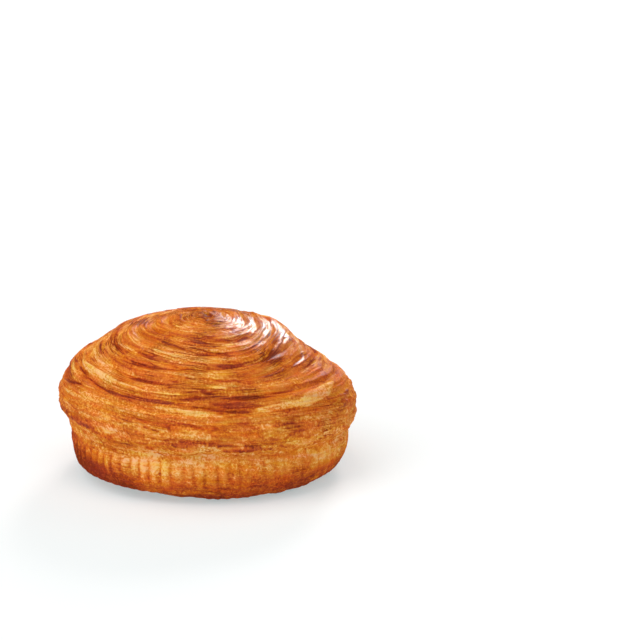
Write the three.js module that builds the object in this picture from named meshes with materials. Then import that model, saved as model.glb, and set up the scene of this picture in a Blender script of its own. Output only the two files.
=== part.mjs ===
// Laminated butter bun, one solid, in millimetres.
// The foot rests on z = 0, the swirled crown is up, the front is toward -Y and +X is to the right.
//
// The skin is a grid over two parameters: the distance s along a meridian, from the middle of the
// swirl down to the rim of the foot, and the angle a around the bun (0 at the front, growing to
// the right). Relief is added along the outward normal of the plain shape.
import * as THREE from "three";

const TURN = 2 * Math.PI;
const DEGREE = Math.PI / 180;

// Meridian of the plain shape: radius and height of its points.
const BUN_HEIGHT = 54.8;
const BULGE_RADIUS = 49.8;
const BULGE_HEIGHT = 23.3;
const CREASE_RADIUS = 46.3;
const CREASE_HEIGHT = 16.4;
const BAND_RADIUS = 46.9;
const BAND_HEIGHT = 12.6;
const FOOT_RADIUS = 34.8;
const MERIDIAN = [
  [0, BUN_HEIGHT],
  [5.6, 54.4],
  [11.6, 53.2],
  [20.2, 51.1],
  [28.2, 48.1],
  [33.6, 45.1],
  [37.2, 41.9],
  [40.8, 39.0],
  [43.9, 35.8],
  [46.3, 32.7],
  [48.4, 29.6],
  [49.6, 26.4],
  [BULGE_RADIUS, BULGE_HEIGHT],
  [49.5, 20.6],
  [48.8, 18.9],
  [47.4, 17.6],
  [CREASE_RADIUS, CREASE_HEIGHT],
  [46.5, 15.0],
  [BAND_RADIUS, BAND_HEIGHT],
  [46.7, 9.8],
  [45.8, 6.9],
  [44.1, 4.3],
  [41.0, 2.0],
  [37.8, 0.6],
  [FOOT_RADIUS, 0],
];

// The crown leans: the middle of the swirl sits left of and in front of the middle of the foot.
const CROWN_SHIFT_X = -4.0;
const CROWN_SHIFT_Y = -5.0;
const LEAN_FADE = [42, 68];
const LEFT_FULLNESS = 0.02;

// The band leans a little: its top to the left, its foot to the right.
const BAND_SWAY = { size: -0.6, at: 75, reach: 7 };
const FOOT_SWAY = { size: 1.2, fade: [82, 90] };

// The crease rises at the front and back and sinks at the two sides.
const CREASE_WAVE = { size: 1.5, waves: 2, reach: 7 };

// Uneven roundness of the crown. Each wave: number around the bun, turn for each millimetre of s
// in radians, size, start angle.
const LUMPS = [
  [3, 0, 0.35, 0.4],
  [5, 0, 0.22, 2.1],
  [7, 0, 0.16, 4.4],
];
const LUMPS_FADE_IN = [4, 30];
const LUMPS_FADE_OUT = [-3, 3];

// Ropes of dough that spiral outward from the swirl, with waves in their course and height.
const ROPE_PITCH = 6.2;
const ROPE_STARTS = 2;
const ROPE_OFFSET = 2.05;
const ROPE_DEPTH = 0.8;
const ROPE_ROUNDNESS = 2.6;
const ROPE_STRAY = [
  [1, 0, -1.2, 0],
  [0, 0.156, -1.0, -4.84],
  [3, 0.11, 0.5, 0],
  [5, -0.17, 0.35, 2],
];
const ROPE_UNEVEN = [
  [2, 0.21, 0.22, 0],
  [5, -0.33, 0.16, 1],
];
const ROPES_FADE_IN = [5, 16];
const ROPES_WEAKEN = { share: 0.55, fade: [48, 62] };
const ROPES_FADE_OUT = [63, 70];

// How far the ropes are drawn down the skin at each distance s, in millimetres: on the left, just
// left of the front and on the right. Each side comes in between two angles in degrees, and the
// drawing fades out at the back.
const DRAWN = [
  [0, 0, 0, 0],
  [10, 0, 0, 0],
  [18, -2.0, 0, -2.0],
  [24, -4.0, 0, -4.5],
  [31, -4.0, 0.5, -4.5],
  [36, -3.6, 1.4, -2.5],
  [42, -2.0, 1.6, -0.5],
  [48, -0.5, 1.0, 1.0],
  [56, 2.0, 0, 2.0],
  [64, 1.5, 0, 1.0],
];
const DRAWN_LEFT = { column: 1, fade: [-40, -95] };
const DRAWN_FRONT = { column: 2, fade: [-5, -45] };
const DRAWN_RIGHT = { column: 3, fade: [25, 90] };
const DRAWN_BACK_FADE = [110, 170];

// Small mound in the middle of the swirl, with a crevice that curls into it.
const NUB = { rise: 0.5, radius: 5 };
const CURL = [43, 65, 5.5, -0.065, 1.5, 1.0];
const CURL_FADE_IN = [0.5, 3];

// Crevices between ropes: middle angle, half span in degrees, distance s at the middle,
// drift of s in millimetres a degree, half width, depth.
const CREVICES = [
  [-48, 21, 17.4, 0.07, 0.9, 0.7],
  [28, 34, 21.9, 0.01, 1.1, 1.1],
  [5, 20, 28.0, 0.04, 0.8, 0.6],
  [-67, 19, 30.2, 0.15, 0.8, 0.7],
  [-27, 29, 35.0, -0.01, 0.7, 0.8],
  [12, 16, 34.4, -0.02, 1.1, 0.7],
  [40, 30, 34.0, -0.01, 1.1, 1.0],
  [-27, 17, 40.2, 0.05, 1.0, 0.7],
  [16, 13, 39.3, 0.05, 0.9, 0.6],
  [33, 15, 39.6, 0.0, 0.9, 0.6],
  [-66, 25, 44.4, 0.14, 0.9, 1.0],
  [-34, 22, 48.2, 0.03, 1.1, 1.1],
  [-1, 12, 46.6, -0.05, 0.9, 0.7],
  [24, 19, 47.6, 0.07, 1.0, 0.8],
  [8, 14, 51.4, 0.15, 1.0, 0.9],
  [31, 11, 53.4, 0.21, 0.7, 0.5],
  [44, 11, 47.4, 0.0, 0.9, 0.6],
  [-71, 12, 50.0, -0.24, 1.0, 0.9],
  [-20, 32, 56.3, 0.06, 1.0, 0.6],
  [-62, 19, 61.8, -0.04, 1.4, 0.9],
  [11, 12, 65.4, 0.1, 1.5, 0.9],
  [-10, 9, 63.2, 0.03, 1.1, 0.7],
  [132, 28, 26.4, 0.04, 1.1, 0.8],
  [118, 36, 40.6, 0.03, 1.3, 1.0],
  [104, 28, 52.8, 0.05, 1.2, 0.8],
  [160, 34, 33.6, 0.04, 1.2, 0.9],
  [172, 30, 47.6, 0.05, 1.3, 1.0],
  [150, 24, 58.6, 0.03, 1.2, 0.7],
  [-150, 36, 22.6, 0.04, 1.1, 0.8],
  [-128, 30, 38.6, 0.05, 1.3, 1.0],
  [-112, 25, 55.6, 0.04, 1.3, 0.9],
  [-165, 20, 63.4, 0.02, 1.4, 0.9],
  [80, 18, 64.5, 0.0, 1.4, 0.5],
  [-92, 22, 49.8, 0.0, 1.8, 1.1],
];

// Fuller places, in the same terms: the right shoulder, the lower left of the band, two raised
// strands on the left and the top of the right shoulder. A negative size draws the skin in: the
// foot under the left of the band, and on the left the lower edge of the crown, the top of the
// band and the slope of the dome.
const SWELLS = [
  [66, 48, 53.5, 0, 5.5, 1.6],
  [-55, 50, 84.0, 0, 4.0, 1.3],
  [-50, 50, 88.5, 0, 3.5, -1.4],
  [-62, 24, 25.3, 0.13, 0.9, 0.5],
  [-60, 32, 42.0, 0.08, 1.3, 0.6],
  [100, 55, 28.5, 0, 6.5, 1.4],
  [-92, 45, 66.8, 0, 2.8, -2.0],
  [-92, 40, 77.5, 0, 3.5, -0.9],
  [-98, 42, 35.5, 0, 6.0, -0.8],
];

// Upright ribs pressed into the band by the fluted cup it was baked in. They start below the
// crease and end above the rim of the foot.
const RIB_COUNT = 76;
const RIB_DEPTH = 0.45;
const RIB_UNEVEN = [
  [5, 0, 0.3, 1],
  [11, 0, 0.25, 0.5],
];
const RIBS_FADE_IN = [1.2, 4.5];
const RIBS_FADE_OUT = [6, 1];

// Grid over the skin: the band has four columns for each one of the crown.
const CROWN_COLUMNS = 57;
const CROWN_ROWS = 65;
const BAND_ROWS = 8;
const SPREAD = 4;
const NORMAL_STEP = 0.05;

// Distance of each meridian point from the middle of the swirl.
const ARC = [0];
for (let i = 1; i < MERIDIAN.length; i += 1) {
  const [r0, z0] = MERIDIAN[i - 1];
  const [r1, z1] = MERIDIAN[i];
  ARC.push(ARC[i - 1] + Math.hypot(r1 - r0, z1 - z0));
}
const CREASE_ARC = ARC[MERIDIAN.findIndex(([, z]) => z === CREASE_HEIGHT)];
const RIM_ARC = ARC[ARC.length - 1];

// Rises smoothly from 0 to 1 as x goes from the first to the second limit.
function smooth([from, to], x) {
  const t = Math.min(Math.max((x - from) / (to - from), 0), 1);
  return t * t * (3 - 2 * t);
}

function bell(x) {
  return Math.exp(-x * x);
}

function sumOfWaves(list, s, a) {
  let sum = 0;
  for (const [around, along, size, start] of list) {
    sum += size * Math.sin(around * a + along * s + start);
  }
  return sum;
}

// Slope of the meridian at point i, for one coordinate.
function slope(i, axis) {
  const secant = (j) => (MERIDIAN[j][axis] - MERIDIAN[j - 1][axis]) / (ARC[j] - ARC[j - 1]);
  if (i === 0) {
    return secant(1);
  }
  if (i === MERIDIAN.length - 1) {
    return secant(i);
  }
  const before = ARC[i] - ARC[i - 1];
  const after = ARC[i + 1] - ARC[i];
  return (secant(i) * after + secant(i + 1) * before) / (before + after);
}

// Radius (axis 0) or height (axis 1) at distance s, as a smooth curve through the points.
function meridian(s, axis) {
  let i = 0;
  while (i < ARC.length - 2 && s > ARC[i + 1]) {
    i += 1;
  }
  const h = ARC[i + 1] - ARC[i];
  const t = (s - ARC[i]) / h;
  const u = 1 - t;
  const ends = (1 + 2 * t) * u * u * MERIDIAN[i][axis] + t * t * (3 - 2 * t) * MERIDIAN[i + 1][axis];
  return ends + t * u * h * (u * slope(i, axis) - t * slope(i + 1, axis));
}

// Angle from the middle of a feature, in degrees between -180 and 180.
function degreesFrom(middle, a) {
  const d = (a / DEGREE - middle) / 360;
  return 360 * (d - Math.round(d));
}

// Point of the plain shape, before relief.
function plain(s, a) {
  const lean = 1 - smooth(LEAN_FADE, s);
  const sine = Math.sin(a);
  const cosine = Math.cos(a);
  const belowCrease = s - CREASE_ARC;
  const onCrown = smooth(LUMPS_FADE_IN, s) * (1 - smooth(LUMPS_FADE_OUT, belowCrease));
  const r = meridian(s, 0) * (1 - LEFT_FULLNESS * lean * sine) + onCrown * sumOfWaves(LUMPS, s, a);
  const sway =
    BAND_SWAY.size * bell((s - BAND_SWAY.at) / BAND_SWAY.reach) + FOOT_SWAY.size * smooth(FOOT_SWAY.fade, s);
  const wave = CREASE_WAVE.size * Math.cos(CREASE_WAVE.waves * a);
  const rise = wave * bell(belowCrease / CREASE_WAVE.reach);
  return new THREE.Vector3(
    CROWN_SHIFT_X * lean + sway + r * sine,
    CROWN_SHIFT_Y * lean - r * cosine,
    meridian(s, 1) + rise,
  );
}

// Outward direction of the plain shape.
function outward(s, a) {
  const safe = Math.max(s, 2 * NORMAL_STEP);
  const down = plain(safe + NORMAL_STEP, a).sub(plain(safe - NORMAL_STEP, a));
  const around = plain(safe, a + NORMAL_STEP).sub(plain(safe, a - NORMAL_STEP));
  return down.cross(around).normalize();
}

// Value of one column of the drawing table at distance s, straight between its rows.
function drawnAt(s, column) {
  let i = 0;
  while (i < DRAWN.length - 2 && s > DRAWN[i + 1][0]) {
    i += 1;
  }
  const [from, to] = [DRAWN[i], DRAWN[i + 1]];
  const t = Math.min(Math.max((s - from[0]) / (to[0] - from[0]), 0), 1);
  return from[column] * (1 - t) + to[column] * t;
}

// Shift of the ropes down the skin.
function drawn(s, a) {
  const degrees = degreesFrom(0, a);
  let shift = 0;
  for (const side of [DRAWN_LEFT, DRAWN_FRONT, DRAWN_RIGHT]) {
    shift += drawnAt(s, side.column) * smooth(side.fade, degrees);
  }
  return shift * (1 - smooth(DRAWN_BACK_FADE, Math.abs(degrees)));
}

// Height of the ropes: rounded crests with narrow grooves between them, about a mean of zero.
function ropes(s, a) {
  const course = s - ROPE_OFFSET + sumOfWaves(ROPE_STRAY, s, a) - drawn(s, a);
  const phase = course / ROPE_PITCH - (ROPE_STARTS * a) / TURN;
  const fromCrest = Math.abs(2 * (phase - Math.floor(phase)) - 1);
  const crest = 1 / (ROPE_ROUNDNESS + 1) - Math.pow(fromCrest, ROPE_ROUNDNESS);
  const weaken = 1 - ROPES_WEAKEN.share * smooth(ROPES_WEAKEN.fade, s);
  const strength = smooth(ROPES_FADE_IN, s) * weaken * (1 - smooth(ROPES_FADE_OUT, s));
  return ROPE_DEPTH * strength * (1 + sumOfWaves(ROPE_UNEVEN, s, a)) * crest;
}

// Size of one crevice or swell, which fades toward both of its ends as a parabola.
function spot(s, a, [middle, half, at, drift, width, size]) {
  const d = degreesFrom(middle, a);
  if (Math.abs(d) >= half) {
    return 0;
  }
  return size * (1 - (d / half) ** 2) * bell((s - at - drift * d) / width);
}

function nub(s, a) {
  return NUB.rise * bell(s / NUB.radius) - smooth(CURL_FADE_IN, s) * spot(s, a, CURL);
}

function ribs(s, a) {
  const above = RIM_ARC - s;
  const strength = smooth(RIBS_FADE_IN, s - CREASE_ARC) * (1 - smooth(RIBS_FADE_OUT, above));
  return 0.5 * RIB_DEPTH * strength * (1 + sumOfWaves(RIB_UNEVEN, s, a)) * Math.sin(RIB_COUNT * a);
}

function relief(s, a) {
  const crevices = CREVICES.reduce((sum, entry) => sum + spot(s, a, entry), 0);
  const swells = SWELLS.reduce((sum, entry) => sum + spot(s, a, entry), 0);
  return ropes(s, a) + nub(s, a) + ribs(s, a) + swells - crevices;
}

function skin(s, a) {
  return plain(s, a).addScaledVector(outward(s, a), relief(s, a));
}

const points = [];
const faces = [];

// Adds one ring of points and returns the number of its first point.
function addRing(s, columns) {
  const first = points.length;
  for (let i = 0; i < columns; i += 1) {
    const p = skin(s, (TURN * i) / columns);
    if (s >= RIM_ARC) {
      p.z = 0;
    }
    points.push(p);
  }
  return first;
}

// Joins two rings of equal number, the upper one nearer the swirl.
function joinRings(upper, lower, columns) {
  for (let i = 0; i < columns; i += 1) {
    const j = (i + 1) % columns;
    faces.push([upper + i, lower + i, lower + j]);
    faces.push([upper + i, lower + j, upper + j]);
  }
}

// Joins a ring to one below it that has SPREAD times as many points.
function spreadRing(upper, lower, columns) {
  const many = SPREAD * columns;
  const half = SPREAD / 2;
  for (let i = 0; i < columns; i += 1) {
    const j = (i + 1) % columns;
    for (let k = 0; k < SPREAD; k += 1) {
      const from = lower + SPREAD * i + k;
      const to = lower + ((SPREAD * i + k + 1) % many);
      faces.push([upper + (k < half ? i : j), from, to]);
    }
    faces.push([upper + i, lower + SPREAD * i + half, upper + j]);
  }
}

// Closes a ring with a fan around one point.
function closeRing(centre, ring, columns, facesUp) {
  for (let i = 0; i < columns; i += 1) {
    const j = (i + 1) % columns;
    faces.push(facesUp ? [centre, ring + i, ring + j] : [centre, ring + j, ring + i]);
  }
}

const bandColumns = SPREAD * CROWN_COLUMNS;
const crownStep = CREASE_ARC / CROWN_ROWS;
const bandStep = (RIM_ARC - CREASE_ARC) / BAND_ROWS;

points.push(skin(0, 0));
let ring = addRing(crownStep, CROWN_COLUMNS);
closeRing(0, ring, CROWN_COLUMNS, true);
for (let row = 2; row <= CROWN_ROWS; row += 1) {
  const next = addRing(crownStep * row, CROWN_COLUMNS);
  joinRings(ring, next, CROWN_COLUMNS);
  ring = next;
}
for (let row = 1; row <= BAND_ROWS; row += 1) {
  const s = row === BAND_ROWS ? RIM_ARC : CREASE_ARC + bandStep * row;
  const next = addRing(s, bandColumns);
  if (row === 1) {
    spreadRing(ring, next, CROWN_COLUMNS);
  } else {
    joinRings(ring, next, bandColumns);
  }
  ring = next;
}
points.push(new THREE.Vector3(0, 0, 0));
closeRing(points.length - 1, ring, bandColumns, false);

// Puts the middle of the bounding box over the origin.
const middle = new THREE.Box3().setFromPoints(points).getCenter(new THREE.Vector3());
for (const p of points) {
  p.x -= middle.x;
  p.y -= middle.y;
}

const shape = new THREE.BufferGeometry().setFromPoints(points);
shape.setIndex(faces.flat());
shape.computeVertexNormals();

const crust = new THREE.MeshStandardMaterial({ color: 0xc9742c, roughness: 0.5, metalness: 0 });
crust.name = "baked_crust";

const bun = new THREE.Mesh(shape, crust);
bun.name = "bun";

const part = new THREE.Group();
part.name = "laminated_butter_bun";
part.add(bun);

export default part;
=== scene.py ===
"""A laminated butter bun with a coiled, glazed crown and a fluted band, on a pale studio floor.

Shapes are worked out in millimetres and written to the mesh in metres. The skin is a function of
two parameters: the distance s along a meridian, from the middle of the swirl down to the rim of
the foot and on to the middle of the underside, and the angle a around the bun, 0 at the front and
growing to the right.
"""
import math
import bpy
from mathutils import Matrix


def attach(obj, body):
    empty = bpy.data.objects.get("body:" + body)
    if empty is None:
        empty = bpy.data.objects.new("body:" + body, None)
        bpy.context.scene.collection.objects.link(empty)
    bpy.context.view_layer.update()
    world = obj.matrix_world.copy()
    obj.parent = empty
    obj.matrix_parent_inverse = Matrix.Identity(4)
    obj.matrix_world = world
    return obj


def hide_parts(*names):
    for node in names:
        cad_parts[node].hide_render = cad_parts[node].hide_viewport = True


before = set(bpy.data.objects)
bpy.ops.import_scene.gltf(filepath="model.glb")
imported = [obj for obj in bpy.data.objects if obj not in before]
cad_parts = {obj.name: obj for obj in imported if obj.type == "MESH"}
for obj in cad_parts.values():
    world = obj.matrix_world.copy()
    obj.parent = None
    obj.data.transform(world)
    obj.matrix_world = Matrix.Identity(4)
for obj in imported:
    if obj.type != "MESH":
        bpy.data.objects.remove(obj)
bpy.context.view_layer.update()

from types import SimpleNamespace

import bpy
import numpy as np

MM = 0.001
TURN = 2 * math.pi

# Camera, first: where the bun stands in the photograph of 640 x 640 pixels.
PICTURE = 640
PIXELS_PER_MM = 2.96
CAMERA_DISTANCE = 1200.0
CAMERA_ELEVATION = math.radians(17.0)
SENSOR = 36.0
CLIP_END = 50
AIM_POINT = (0.95, 0.3, 25.0)
AIM_PIXEL = (210.6, 394.6)

# Meridian of the plain shape: radius and height of its points.
CREASE_HEIGHT = 16.4
FOOT_RADIUS = 34.8
MERIDIAN = np.array([
    (0, 54.8), (5.6, 54.4), (11.6, 53.2), (20.2, 51.1), (28.2, 48.1),
    (33.6, 45.1), (37.2, 41.9), (40.8, 39.0), (43.9, 35.8), (46.3, 32.7),
    (48.4, 29.6), (49.6, 26.4), (49.8, 23.3), (49.5, 20.6), (48.8, 18.9),
    (47.4, 17.6), (46.3, CREASE_HEIGHT), (46.5, 15.0), (46.9, 12.6), (46.7, 9.8),
    (45.8, 6.9), (44.1, 4.3), (41.0, 2.0), (37.8, 0.6), (FOOT_RADIUS, 0),
])
ARC = np.concatenate([[0], np.cumsum(np.hypot(*np.diff(MERIDIAN, axis=0).T))])
CREASE_ARC = float(ARC[list(MERIDIAN[:, 1]).index(CREASE_HEIGHT)])
RIM_ARC = float(ARC[-1])
END_ARC = RIM_ARC + FOOT_RADIUS

# Lean of the crown, sway of the band and foot, wave of the crease.
CROWN_SHIFT_X = -4.0
CROWN_SHIFT_Y = -5.0
LEAN_FADE = (42, 68)
LEFT_FULLNESS = 0.02
BAND_SWAY = (-0.6, 75, 7)
FOOT_SWAY = 1.2
FOOT_SWAY_FADE = (82, 90)
CREASE_WAVE = (1.5, 2, 7)

# Waves: number around the bun, turn for each millimetre of s, size, start angle.
LUMPS = [(3, 0, 0.35, 0.4), (5, 0, 0.22, 2.1), (7, 0, 0.16, 4.4)]
LUMPS_FADE_IN = (4, 30)
LUMPS_FADE_OUT = (-3, 3)

# Ropes of dough that spiral outward from the swirl.
ROPE_PITCH = 6.2
ROPE_STARTS = 2
ROPE_OFFSET = 2.05
ROPE_DEPTH = 0.8
ROPE_ROUNDNESS = 2.6
ROPE_STRAY = [(1, 0, -1.2, 0), (0, 0.156, -1.0, -4.84), (3, 0.11, 0.5, 0), (5, -0.17, 0.35, 2)]
ROPE_UNEVEN = [(2, 0.21, 0.22, 0), (5, -0.33, 0.16, 1)]
ROPES_FADE_IN = (5, 16)
ROPES_WEAKEN = 0.55
ROPES_WEAKEN_FADE = (48, 62)
ROPES_FADE_OUT = (63, 70)
GROWTH = ROPE_PITCH * ROPE_STARTS

# How far the ropes and strands are drawn up or down at each s: on the left, just left of the front
# and on the right. The drawing fades out at the back.
DRAWN = np.array([
    (0, 0, 0, 0), (10, 0, 0, 0), (18, -2.0, 0, -2.0), (24, -4.0, 0, -4.5), (31, -4.0, 0.5, -4.5),
    (36, -3.6, 1.4, -2.5), (42, -2.0, 1.6, -0.5), (48, -0.5, 1.0, 1.0), (56, 2.0, 0, 2.0), (64, 1.5, 0, 1.0),
])
DRAWN_LEFT = (-40, -95)
DRAWN_FRONT = (-5, -45)
DRAWN_RIGHT = (25, 90)
DRAWN_BACK = (110, 170)

# Mound and curl in the middle of the swirl.
NUB_RISE = 0.5
NUB_RADIUS = 5
CURL = (43, 65, 5.5, -0.065, 1.5, 1.0)
CURL_FADE_IN = (0.5, 3)

# Crevices and swells: middle angle and half span in degrees, s at the middle, drift of s in
# millimetres a degree, half width, and depth or height. A negative height draws the skin in.
CREVICES = [
    (-48, 21, 17.4, 0.07, 0.9, 0.7), (28, 34, 21.9, 0.01, 1.1, 1.1), (5, 20, 28.0, 0.04, 0.8, 0.6),
    (-67, 19, 30.2, 0.15, 0.8, 0.7), (-27, 29, 35.0, -0.01, 0.7, 0.8), (12, 16, 34.4, -0.02, 1.1, 0.7),
    (40, 30, 34.0, -0.01, 1.1, 1.0), (-27, 17, 40.2, 0.05, 1.0, 0.7), (16, 13, 39.3, 0.05, 0.9, 0.6),
    (33, 15, 39.6, 0.0, 0.9, 0.6), (-66, 25, 44.4, 0.14, 0.9, 1.0), (-34, 22, 48.2, 0.03, 1.1, 1.1),
    (-1, 12, 46.6, -0.05, 0.9, 0.7), (24, 19, 47.6, 0.07, 1.0, 0.8), (8, 14, 51.4, 0.15, 1.0, 0.9),
    (31, 11, 53.4, 0.21, 0.7, 0.5), (44, 11, 47.4, 0.0, 0.9, 0.6), (-71, 12, 50.0, -0.24, 1.0, 0.9),
    (-20, 32, 56.3, 0.06, 1.0, 0.6), (-62, 19, 61.8, -0.04, 1.4, 0.9), (11, 12, 65.4, 0.1, 1.5, 0.9),
    (-10, 9, 63.2, 0.03, 1.1, 0.7), (132, 28, 26.4, 0.04, 1.1, 0.8), (118, 36, 40.6, 0.03, 1.3, 1.0),
    (104, 28, 52.8, 0.05, 1.2, 0.8), (160, 34, 33.6, 0.04, 1.2, 0.9), (172, 30, 47.6, 0.05, 1.3, 1.0),
    (150, 24, 58.6, 0.03, 1.2, 0.7), (-150, 36, 22.6, 0.04, 1.1, 0.8), (-128, 30, 38.6, 0.05, 1.3, 1.0),
    (-112, 25, 55.6, 0.04, 1.3, 0.9), (-165, 20, 63.4, 0.02, 1.4, 0.9), (80, 18, 64.5, 0.0, 1.4, 0.5),
    (-92, 22, 49.8, 0.0, 1.8, 1.1),
]
SWELLS = [
    (66, 48, 53.5, 0, 5.5, 1.6), (-55, 50, 84.0, 0, 4.0, 1.3), (-50, 50, 88.5, 0, 3.5, -1.4),
    (-62, 24, 25.3, 0.13, 0.9, 0.5), (-60, 32, 42.0, 0.08, 1.3, 0.6), (100, 55, 28.5, 0, 6.5, 1.4),
    (-92, 45, 66.8, 0, 2.8, -2.0), (-92, 40, 77.5, 0, 3.5, -0.9), (-98, 42, 35.5, 0, 6.0, -0.8),
]

# Ribs that the fluted cup pressed into the band.
RIB_COUNT = 76
RIB_DEPTH = 0.45
RIB_UNEVEN = [(5, 0, 0.3, 1), (11, 0, 0.25, 0.5)]
RIBS_FADE_IN = (1.2, 4.5)
RIBS_FADE_OUT = (6, 1)

# Grid of the visible mesh: NUB_COLUMNS around the nub, then SPREAD times as many down to SPREAD_ARC,
# and SPREAD times as many again on the crease and the band.
NUB_COLUMNS = 80
SPREAD = 3
NUB_ARC = 9.0
SPREAD_ARC = 58.0
NUB_STEP = 0.3
CROWN_STEP = 0.25
BAND_STEP = 0.6
UNDER_STEP = 1.5
NORMAL_STEP = 0.05

# Random fields of the skin: millimetres between the rows, cells around the bun and, for the fields
# that follow the spiral, how far it grows in one turn.
SEED = 41
FIELD_ROWS = 512
SLOW_BEND_GRID = (13.0, 9)
QUICK_BEND_GRID = (7.0, 16)
LUMP_GRID = (4.0, 72)
GRAIN_GRID = (1.7, 170)
BROAD_GRID = (GROWTH / 4, 9, GROWTH)
MIDDLE_GRID = (GROWTH / 8, 12, GROWTH)
NARROW_GRID = (GROWTH / 14, 16, GROWTH)
THIN_GRID = (GROWTH / 22, 22, GROWTH)
CRUMB_GRID = (0.9, 330)
PATCH_GRID = (9.0, 26)
TIDE_GRID = (12.0, 16)
FLAKE_GRID = (2.0, 34)
CURL_GRID = (1.1, 90)
SCALLOP_GRID = (30.0, 64)

# How far the strands bend, in millimetres, the share of the quick field in it, and how far lumps
# and grains shift the strands across, in millimetres, and around, in radians, where they are torn.
BEND = 0.8
QUICK_BEND = 0.35
BEND_FADE_IN = (5, 16)
TORN_FADE_IN = (40, 56)
LUMP_SHIFT = 0.45
GRAIN_SHIFT = 0.2
LUMP_TURN = 0.03
TORN_LUMP_TURN = 0.05
TORN_GRAIN_TURN = 0.03

# Zones of the skin: the crown and the foot along s, the crease and the start of the band below the
# crease, and the end of the band below the rim.
CROWN_FADE_IN = (0.5, 4)
CROWN_FADE_OUT = (60, 71)
LOW_CROWN_FADE = (34, 52)
CREASE_ZONE = (-13, 0)
CREASE_ZONE_EDGE = 4
BAND_FADE_IN = (0.5, 4)
BAND_FADE_OUT = (-1, 6)
FOOT_FADE_IN = (80, 86)

# Fine relief of the crown, in millimetres: strands, threads between them, random waves of three
# widths, the steps where plies, laminae and leaves end, and grains. Bare places stand up, and the
# ropes sink by this share where the strands show least.
STRAND_PITCH = GROWTH / 6
STRAND_HEIGHT = 0.28
STRAND_FADE_IN = (6, 20)
THREAD_PITCH = GROWTH / 12
THREAD_HEIGHT = 0.10
THREAD_FADE_IN = (3, 13)
MIDDLE_HEIGHT = 0.16
NARROW_HEIGHT = 0.10
THIN_HEIGHT = 0.05
PLY_STEP = 0.24
LAMINA_STEP = 0.12
LOW_LAMINA_STEP = 0.04
LEAF_STEP = 0.08
GRAIN_HEIGHT = 0.04
BARE_HEIGHT = 0.5
ROPE_SINK = 0.6

# Fine relief of the crease, of the band and of the foot, in millimetres.
CREASE_LUMP = 0.22
CREASE_LIP = 0.30
CREASE_GRAIN = 0.14
CREASE_CRUMB = 0.20
BAND_LUMP = 0.08
BAND_GRAIN = 0.07
BAND_CRUMB = 0.05
BAND_ROUGHNESS = 0.45
SCALLOP_HEIGHT = 0.35
SCALLOP_WIDTH = 5
SCALLOP_EDGE = 3

# Sharp ribs: where they come in and end below the crease and how far the end strays, in
# millimetres; where the first one is and how far they stray, in ribs; the power that rounds them,
# their height in millimetres, the part of it below the middle, the painted shade of the gap, from the
# middle of a rib at 0 to the middle of a gap at 1, and the least and most that they stand out.
RIB_START_FADE = (1.0, 2.5)
RIB_END = 5.5
RIB_END_STRAY = 3.5
RIB_END_FADE = (0, 5)
RIB_START = 0.30
RIB_STRAY = 0.24
RIB_LUMP_STRAY = 0.06
RIB_SHARPNESS = 3
RIB_HEIGHT = 0.35
RIB_MIDDLE = 0.6
RIB_GAP_SHADE = (0.55, 1.0)
RIB_STRENGTH = (0.1, 1.2)

# The grain of the crust widens around the bun by this share along s, and its front and back parts
# blend between two cosines of the angle.
GRAIN_WIDENING = 0.8
GRAIN_WIDENING_FADE = (18, 48)
GRAIN_BLEND = (-0.35, 0.35)

# Edges of the crescents: where the tips fade, and the edge across in millimetres.
CRESCENT_TIP = (0, 0.35)
CRESCENT_EDGE = (-0.35, 0.15)

# Browned rims of the laminae and the pale strips outside them, in terms of the random fields.
RIM_EDGE = (-0.05, 0.03)
RIM_REACH = 0.25
STRIP_REACH = 0.3
STRIP_SHARE = 0.5

# Half width and strength of the browned core of each crevice, and the thinnest and thickest glaze.
CREVICE_CORE = (0.3, 0.3)
GLAZE_LIMITS = (0.02, 1)

# Past this baking the crust darkens more slowly.
BAKE_KNEE = 0.8
BAKE_PAST_KNEE = 0.4


def smooth(limits, x):
    """Rises from 0 to 1 between two limits, as 3t^2 - 2t^3."""
    t = np.clip((x - limits[0]) / (limits[1] - limits[0]), 0, 1)
    return t * t * (3 - 2 * t)


def bell(x):
    """1 at x = 0, falling to both sides as e to the power of minus x squared."""
    return np.exp(-x * x)


def between(limits, edge, x):
    """1 between two limits, fading to 0 over `edge` outside each."""
    low, high = limits
    return smooth((low - edge, low), x) * (1 - smooth((high, high + edge), x))


def from_crest(phase):
    """Distance from the nearest crest: 0 on it, 1 halfway to the next. Each whole step of the phase
    has its crest in the middle."""
    return np.abs(2 * (phase - np.floor(phase)) - 1)


def degrees_from(middle, a):
    """Angle from `middle` the short way around, from -180 to 180 degrees."""
    turn = np.degrees(a) / 360 - middle / 360
    return 360 * (turn - np.round(turn))


def sum_of_waves(waves, s, a):
    """Adds size * sin(around * a + along * s + start) over the waves."""
    return sum(size * np.sin(around * a + along * s + start) for around, along, size, start in waves)


def meridian(s, axis):
    """Radius (axis 0) or height (axis 1) at distance s: a cubic through the points, each with the
    slope of the parabola through it and its two neighbours."""
    values = MERIDIAN[:, axis]
    step = np.diff(ARC)
    secant = np.diff(values) / step
    inner = (secant[:-1] * step[1:] + secant[1:] * step[:-1]) / (step[:-1] + step[1:])
    slopes = np.concatenate([secant[:1], inner, secant[-1:]])
    i = np.clip(np.searchsorted(ARC, s, side="left") - 1, 0, len(ARC) - 2)
    t = (s - ARC[i]) / step[i]
    u = 1 - t
    ends = (1 + 2 * t) * u * u * values[i] + t * t * (3 - 2 * t) * values[i + 1]
    return ends + t * u * step[i] * (u * slopes[i] - t * slopes[i + 1])


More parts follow.
